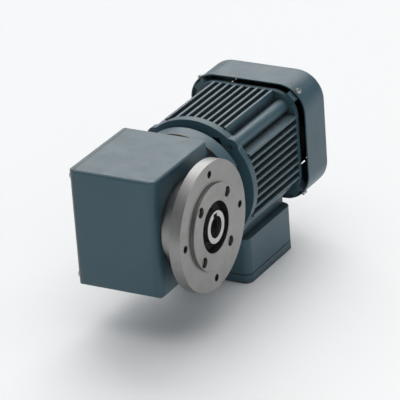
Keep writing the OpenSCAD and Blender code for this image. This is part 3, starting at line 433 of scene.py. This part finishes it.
EDGE = {  # edge rounding by node, or else by slot
    "stator_housing": 0.2 * MM,
    "gear_housing": 0.4 * MM,
    "side_cover": 0.4 * MM,
    "motor_adapter": 0.5 * MM,
    "fan": 0.2 * MM,
    "breather_plug": 0.2 * MM,
    "cable_gland": 0.15 * MM,
    "rear_shield": 0,
    "output_bearing_balls": 0,
    "pinion_bearing_balls": 0,
    "rotor_bearing_balls": 0,
    "pinion_shaft": 0,
    "crown_gear": 0.12 * MM,
    "spur_wheel": 0.12 * MM,
    "motor_pinion": 0.10 * MM,
    "cowl_screws": 0.12 * MM,
    "lid_screws": 0.12 * MM,
    "terminal_base_screws": 0.12 * MM,
    "terminal_studs": 0.12 * MM,
    "terminal_gasket": 0.1 * MM,
    "earth_screw": 0.12 * MM,
    "nameplate": 0.12 * MM,
    "wave_spring": 0.05 * MM,
    "blue_grey_paint": 0.65 * MM,
    "machined_iron": 0.6 * MM,
    "zinc_plate": 0.25 * MM,
    "spring_steel": 0.12 * MM,
    "gasket_paper": 0.1 * MM,
}
EDGE_ELSE = 0.3 * MM
KEEP_FACETS = {"stator_housing", "crown_gear", "cable_gland"}  # joined faces would fold there
WELD_GAP = 0.03 * MM
FLAT_TURN = math.radians(0.6)
SHARP_TURN = math.radians(40)
BEVEL_TURN = math.radians(35)


def sharp_edge_group():
    """A node group that keeps every edge that still turns by more than SHARP_TURN sharp."""
    group = bpy.data.node_groups.new("keep_sharp_edges", "GeometryNodeTree")
    group.interface.new_socket("Geometry", in_out="INPUT", socket_type="NodeSocketGeometry")
    group.interface.new_socket("Geometry", in_out="OUTPUT", socket_type="NodeSocketGeometry")
    start = group.nodes.new("NodeGroupInput")
    end = group.nodes.new("NodeGroupOutput")
    turn = group.nodes.new("GeometryNodeInputMeshEdgeAngle")
    soft = group.nodes.new("FunctionNodeCompare")
    soft.data_type = "FLOAT"
    soft.operation = "LESS_THAN"
    soft.inputs["B"].default_value = SHARP_TURN
    smooth = group.nodes.new("GeometryNodeSetShadeSmooth")
    smooth.domain = "EDGE"
    group.links.new(turn.outputs["Unsigned Angle"], soft.inputs["A"])
    group.links.new(soft.outputs["Result"], smooth.inputs["Shade Smooth"])
    group.links.new(start.outputs["Geometry"], smooth.inputs["Geometry"])
    group.links.new(smooth.outputs["Geometry"], end.inputs["Geometry"])
    return group


KEEP_SHARP = sharp_edge_group()


def soften(obj, width):
    """Rounds the sharp edges, unless the width is 0, and keeps flat faces flat."""
    for polygon in obj.data.polygons:
        polygon.use_smooth = True
    if width:
        edge = obj.modifiers.new("edge", "BEVEL")
        edge.width = width
        edge.segments = 2
        edge.limit_method = "ANGLE"
        edge.angle_limit = BEVEL_TURN
        edge.use_clamp_overlap = False
    obj.modifiers.new("sharp", "NODES").node_group = KEEP_SHARP
    normals = obj.modifiers.new("normals", "WEIGHTED_NORMAL")
    normals.keep_sharp = True


def dress(node):
    """Gives a CAD node its material, closes and joins its faces and softens its edges."""
    obj = NODES[node]
    slot = SLOT_OF[node]
    obj.data.materials.clear()
    obj.data.materials.append(OWN_MATERIAL.get(node, MATERIALS[slot]))
    width = EDGE.get(node, EDGE.get(slot, EDGE_ELSE))
    obj.modifiers.new("weld", "WELD").merge_threshold = WELD_GAP
    if width and node not in KEEP_FACETS:
        flat = obj.modifiers.new("flat", "DECIMATE")
        flat.decimate_type = "DISSOLVE"
        flat.angle_limit = FLAT_TURN
    soften(obj, width)


for name in NODES:
    dress(name)

# --- New pieces ----------------------------------------------------------------------------------


def new_piece(name, vertices, faces, slot, body):
    """A mesh with its slot's material, riding on a body."""
    mesh = bpy.data.meshes.new(name)
    mesh.from_pydata(vertices, [], faces)
    mesh.materials.append(MATERIALS[slot])
    piece = bpy.data.objects.new(name, mesh)
    bpy.context.scene.collection.objects.link(piece)
    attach(piece, body)
    return piece


# --- Fan cowl ------------------------------------------------------------------------------------

SPOKES = 8
SPOKE_HALF = 1.6 * MM
SLOT_STEPS = 16
SLOT_RINGS = [(12 * MM + 7 * MM * ring, 16 * MM + 7 * MM * ring) for ring in range(6)]
HUB_RING = 6 * MM  # radius of the last ring of points, inside the slots
COWL_CORNER = 27 * MM
COWL_SHEET = 1.4 * MM
COWL_ROLL = 5.5 * MM
COWL_DOME = 1.2 * MM
COWL_EDGE = 0.3 * MM
ROLL_STEPS = 7
WALL_DEPTHS = (0, 2 * MM, 12 * MM, 24 * MM)  # from the open end


def rounded_reach(angle, half_w, half_h, corner):
    """Distance from the centre of a round-cornered rectangle to its edge."""
    x, z = abs(math.cos(angle)), abs(math.sin(angle))
    if x * (half_h - corner) >= z * half_w:
        return half_w / x
    if z * (half_w - corner) >= x * half_h:
        return half_h / z
    middle = Vector((half_w - corner, half_h - corner))
    along = middle.dot(Vector((x, z)))
    return along + math.sqrt(corner ** 2 - middle.length_squared + along ** 2)


def column_angles(radius):
    """Angles round one ring of the cowl: close pairs at the spokes, even steps between them."""
    half = math.asin(SPOKE_HALF / radius)
    sector = math.tau / SPOKES
    angles = []
    for spoke in range(SPOKES):
        start = spoke * sector
        angles.append(start - half)
        angles += [start + half + (sector - 2 * half) * step / SLOT_STEPS
                   for step in range(SLOT_STEPS)]
    return angles


def side_rings(low, high):
    """Rings of points along the cowl's wall and round its rolled rear edge."""
    stations = [(low.y + depth, 0.0) for depth in WALL_DEPTHS]
    for step in range(ROLL_STEPS + 1):
        turn = math.radians(90 * step / ROLL_STEPS)
        stations.append((high.y - COWL_DOME - COWL_ROLL * (1 - math.sin(turn)),
                         COWL_ROLL * (1 - math.cos(turn))))
    rings = []
    for y, inset in stations:
        ring = []
        for angle in column_angles(high.x):
            reach = rounded_reach(angle, high.x - inset, high.z - inset, COWL_CORNER - inset)
            ring.append((reach * math.cos(angle), y, reach * math.sin(angle)))
        rings.append(ring)
    return rings


def end_rings(high):
    """Rings of points across the domed end, one along each edge of each slot."""
    radii = [radius for ring in reversed(SLOT_RINGS) for radius in reversed(ring)] + [HUB_RING]
    rings = []
    for radius in radii:
        y = high.y - COWL_DOME * (radius / radii[0]) ** 2
        rings.append([(radius * math.cos(angle), y, radius * math.sin(angle))
                      for angle in column_angles(radius)])
    return rings


def fan_cowl():
    """Pressed cowl: round-cornered can with a rolled rear edge, a slightly domed end and ring
    slots between eight spokes."""
    low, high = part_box("fan_cowl")
    side = side_rings(low, high)
    rings = side + end_rings(high)
    columns = SPOKES * (SLOT_STEPS + 1)
    faces = []
    for place in range(len(rings) - 1):
        is_slot = len(side) <= place < len(rings) - 2 and (place - len(side)) % 2 == 0
        for column in range(columns):
            if is_slot and column % (SLOT_STEPS + 1) != 0:
                continue
            after = (column + 1) % columns
            faces.append((place * columns + column, (place + 1) * columns + column,
                          (place + 1) * columns + after, place * columns + after))
    last = (len(rings) - 1) * columns
    for column in range(columns):
        faces.append((last + column, last + columns, last + (column + 1) % columns))
    vertices = [point for ring in rings for point in ring] + [(0, high.y, 0)]
    cowl = new_piece("cowl_shell", vertices, faces, "blue_grey_paint", "casing")
    sheet = cowl.modifiers.new("sheet", "SOLIDIFY")
    sheet.thickness = COWL_SHEET
    sheet.offset = -1
    soften(cowl, COWL_EDGE)
    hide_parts("fan_cowl")


fan_cowl()

# --- Round pieces --------------------------------------------------------------------------------

ROUND_STEPS = 96
CAP_EDGE = 0.25 * MM
SEAL_EDGE = 0.12 * MM
SEAL_SHAFT_R = 15 * MM  # the hollow shaft where the output seal runs on it
LIP_GAP = 0.06 * MM


def turned_piece(name, profile, slot, body, edge):
    """A profile of (x, radius) pairs turned about the output axis, given so that it runs towards +x
    along its outside. A profile that starts and ends on the axis makes a disc, and any other closes
    on itself into a ring."""
    is_disc = profile[0][1] == 0
    rims = profile[1:-1] if is_disc else profile
    vertices = []
    for x, radius in rims:
        for step in range(ROUND_STEPS):
            angle = math.tau * step / ROUND_STEPS
            vertices.append((x, radius * math.cos(angle), radius * math.sin(angle)))
    faces = []
    for rim in range(len(rims) - 1 if is_disc else len(rims)):
        start, end = rim * ROUND_STEPS, (rim + 1) % len(rims) * ROUND_STEPS
        for step in range(ROUND_STEPS):
            after = (step + 1) % ROUND_STEPS
            faces.append((start + step, start + after, end + after, end + step))
    if is_disc:
        vertices += [(profile[0][0], 0, 0), (profile[-1][0], 0, 0)]
        first, last = len(vertices) - 2, len(vertices) - 1
        end = (len(rims) - 1) * ROUND_STEPS
        for step in range(ROUND_STEPS):
            after = (step + 1) % ROUND_STEPS
            faces.append((first, after, step))
            faces.append((last, end + step, end + after))
    piece = new_piece(name, vertices, faces, slot, body)
    soften(piece, edge)
    return piece


def closing_cap():
    """Pressed rubber-covered cap: a rolled rim, a bead and a sunk middle."""
    low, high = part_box("closing_cap")
    face, back, rim = low.x, high.x, high.y
    wall = 1.5 * MM
    sink = 1.3 * MM
    slope = 1.5 * MM
    middle = 0.52 * rim
    bead = 0.74 * rim
    bead_x = face + 0.3 * MM
    groove_x = face + 0.9 * MM
    corner = 0.8 * MM
    profile = [(face + sink, 0), (face + sink, middle), (bead_x, middle + slope), (bead_x, bead),
               (groove_x, bead + 0.6 * MM), (groove_x, bead + 1.6 * MM), (face, bead + 2.4 * MM),
               (face, rim - corner), (face + corner, rim), (back, rim), (back, rim - wall),
               (groove_x + wall, rim - wall), (groove_x + wall, middle + slope),
               (face + wall + sink, middle), (face + wall + sink, 0)]
    cap = turned_piece("closing_cap_shell", profile, "black_rubber", "casing", CAP_EDGE)
    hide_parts("closing_cap")


def output_seal():
    """Radial shaft seal: a covered case, a sealing lip and an outer dust lip on the shaft."""
    low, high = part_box("output_seal")
    inner, outer, case_r = low.x, high.x, high.y
    lip_r = SEAL_SHAFT_R + LIP_GAP
    case = [(0, -0.3), (-0.3, 0), (-6.7, 0), (-7, -0.3), (-7, -1.9), (-1.9, -2.0), (-1.9, -4.6),
            (-4.2, -5.2), (-6.3, -6.1)]  # millimetres from the outer face and from the outside
    profile = [(outer + x * MM, case_r + r * MM) for x, r in case]
    profile += [(inner + 0.7 * MM, lip_r + 1.5 * MM), (inner + 0.7 * MM, lip_r + 0.7 * MM),
                (inner + 1.6 * MM, lip_r), (inner + 3 * MM, lip_r + 0.5 * MM),
                (outer - 0.9 * MM, lip_r), (outer - 0.2 * MM, lip_r + 0.4 * MM),
                (outer - 0.5 * MM, lip_r + 1.3 * MM), (outer - 1.4 * MM, lip_r + 2.4 * MM),
                (outer - 1.4 * MM, case_r - 3.4 * MM), (outer, case_r - 1.9 * MM)]
    profile.reverse()
    seal = turned_piece("output_seal_lips", profile, "black_rubber", "casing", SEAL_EDGE)
    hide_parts("output_seal")


closing_cap()
output_seal()

# --- Winding -------------------------------------------------------------------------------------

SLOTS = 24  # in the stator core
COIL_SPAN = 5  # slots from one side of a coil to the other
COIL_LAYERS = (36.0 * MM, 33.2 * MM)  # radius of the outer and the inner side of a coil
COIL_FLARE = 1.6 * MM  # how far an end turn leans out on its outer side
FLARE_RUN = 0.625  # share of an end turn that leans out
COIL_HALF = Vector((1.1 * MM, 1.25 * MM))  # half its width and half its depth
COIL_OUT = 1.2 * MM  # how far a coil leaves the core before it turns over
COIL_CLEAR = 2.7 * MM  # from the highest point of its middle line to the winding's end
ARCH = 1.8  # higher is a squarer end turn
STRANDS = 8
STRAND_POINTS = 4
STRAND_GROOVE = 0.09  # depth of the groove between strands, as a share of the coil's radius
STRAND_SIDE = 0.02  # the same for the points beside a strand's crest
SQUARENESS = 0.55  # of a coil across: 0 is an ellipse and 1 is a rectangle
TURN_STEPS = 9


def coil_path(turn, core_y, reach):
    """One closed coil as (angle, y, radius): out along one slot, over, back along another."""
    start = math.tau * turn / SLOTS
    span = math.tau * COIL_SPAN / SLOTS
    outer, inner = COIL_LAYERS
    path = []
    for end, sign, side in ((core_y[1], 1, 0), (core_y[0], -1, 1)):
        for step in range(TURN_STEPS + 1):
            share = step / TURN_STEPS
            across = share if side == 0 else 1 - share
            rise = reach * (1 - abs(2 * share - 1) ** ARCH)
            lean = COIL_FLARE * math.sin(math.pi * min(1, (1 - across) / FLARE_RUN))
            radius = outer + (inner - outer) * (3 * across ** 2 - 2 * across ** 3)
            path.append((start + span * across, end + sign * (COIL_OUT + rise), radius + lean))
    return path


def coil_section():
    """The outline across one coil: a rounded square with a groove between strands."""
    count = STRANDS * STRAND_POINTS
    section = []
    for step in range(count):
        angle = math.tau * step / count
        ridge = 1 - STRAND_GROOVE * (step % STRAND_POINTS == 0) - STRAND_SIDE * (step % 2 == 1)
        square = 1 / max(abs(math.cos(angle)), abs(math.sin(angle))) ** SQUARENESS
        section.append((COIL_HALF.x * math.cos(angle) * ridge * square,
                        COIL_HALF.y * math.sin(angle) * ridge * square))
    return section


def winding():
    """Two-layer winding: one coil of varnished strands for each slot of the stator."""
    winding_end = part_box("stator_winding")[1].y
    core_low, core_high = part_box("stator_core")
    reach = winding_end - core_high.y - COIL_CLEAR
    section = coil_section()
    count = len(section)
    vertices, faces = [], []
    for turn in range(SLOTS):
        path = coil_path(turn, (core_low.y, core_high.y), reach)
        points = [Vector((r * math.cos(a), y, r * math.sin(a))) for a, y, r in path]
        base = len(vertices)
        for place, point in enumerate(points):
            ahead = (points[(place + 1) % len(points)] - points[place - 1]).normalized()
            out = Vector((point.x, 0, point.z)).normalized()
            out = (out - ahead * out.dot(ahead)).normalized()
            aside = ahead.cross(out)
            vertices += [point + aside * u + out * v for u, v in section]
        for place in range(len(points)):
            here, there = base + place * count, base + (place + 1) % len(points) * count
            for step in range(count):
                after = (step + 1) % count
                faces.append((here + step, there + step, there + after, here + after))
    coils = new_piece("stator_coils", vertices, faces, "enamelled_copper", "casing")
    for polygon in coils.data.polygons:
        polygon.use_smooth = True
    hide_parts("stator_winding")


winding()

# --- Nameplate -----------------------------------------------------------------------------------

PRINT_LINE = 0.35 * MM
PRINT_RAISE = 0.06 * MM
PRINT_SUNK = 0.02 * MM  # how far the print reaches into the plate
PLATE_SIDE = 5 * MM  # margin at the left and the right
PLATE_EDGE = 2.2 * MM  # margin at the top and the bottom
RIVET_HEAD = 0.6 * MM
ROWS = 6
SPLIT_ROWS = 4  # rows that the column line divides
SPLIT_AT = 0.42  # share of the row's length


def nameplate_print():
    """A blank form on the nameplate: a frame, ruled rows and one column line, with no text."""
    low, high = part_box("nameplate")
    face = low.x + RIVET_HEAD
    left, right = low.y + PLATE_SIDE, high.y - PLATE_SIDE
    bottom, top = low.z + PLATE_EDGE, high.z - PLATE_EDGE
    heights = [bottom + (top - bottom) * row / ROWS for row in range(ROWS + 1)]
    column = left + SPLIT_AT * (right - left)
    strips = [(left, right, z, z + PRINT_LINE) for z in heights]
    strips += [(y, y + PRINT_LINE, bottom, top + PRINT_LINE) for y in (left, right)]
    strips.append((column, column + PRINT_LINE, bottom, heights[SPLIT_ROWS]))
    inset = PRINT_RAISE / 2
    vertices, faces = [], []
    for y0, y1, z0, z1 in strips:
        base = len(vertices)
        vertices += [(face + PRINT_SUNK, y, z)
                     for y, z in ((y0, z0), (y1, z0), (y1, z1), (y0, z1))]
        vertices += [(face - PRINT_RAISE, y, z) for y, z in
                     ((y0 + inset, z0 + inset), (y1 - inset, z0 + inset),
                      (y1 - inset, z1 - inset), (y0 + inset, z1 - inset))]
        faces += [(base, base + 1, base + 2, base + 3), (base + 7, base + 6, base + 5, base + 4)]
        faces += [(base + k, base + 4 + k, base + 4 + (k + 1) % 4, base + (k + 1) % 4)
                  for k in range(4)]
    new_piece("nameplate_print", vertices, faces, "black_plastic", "casing")


nameplate_print()
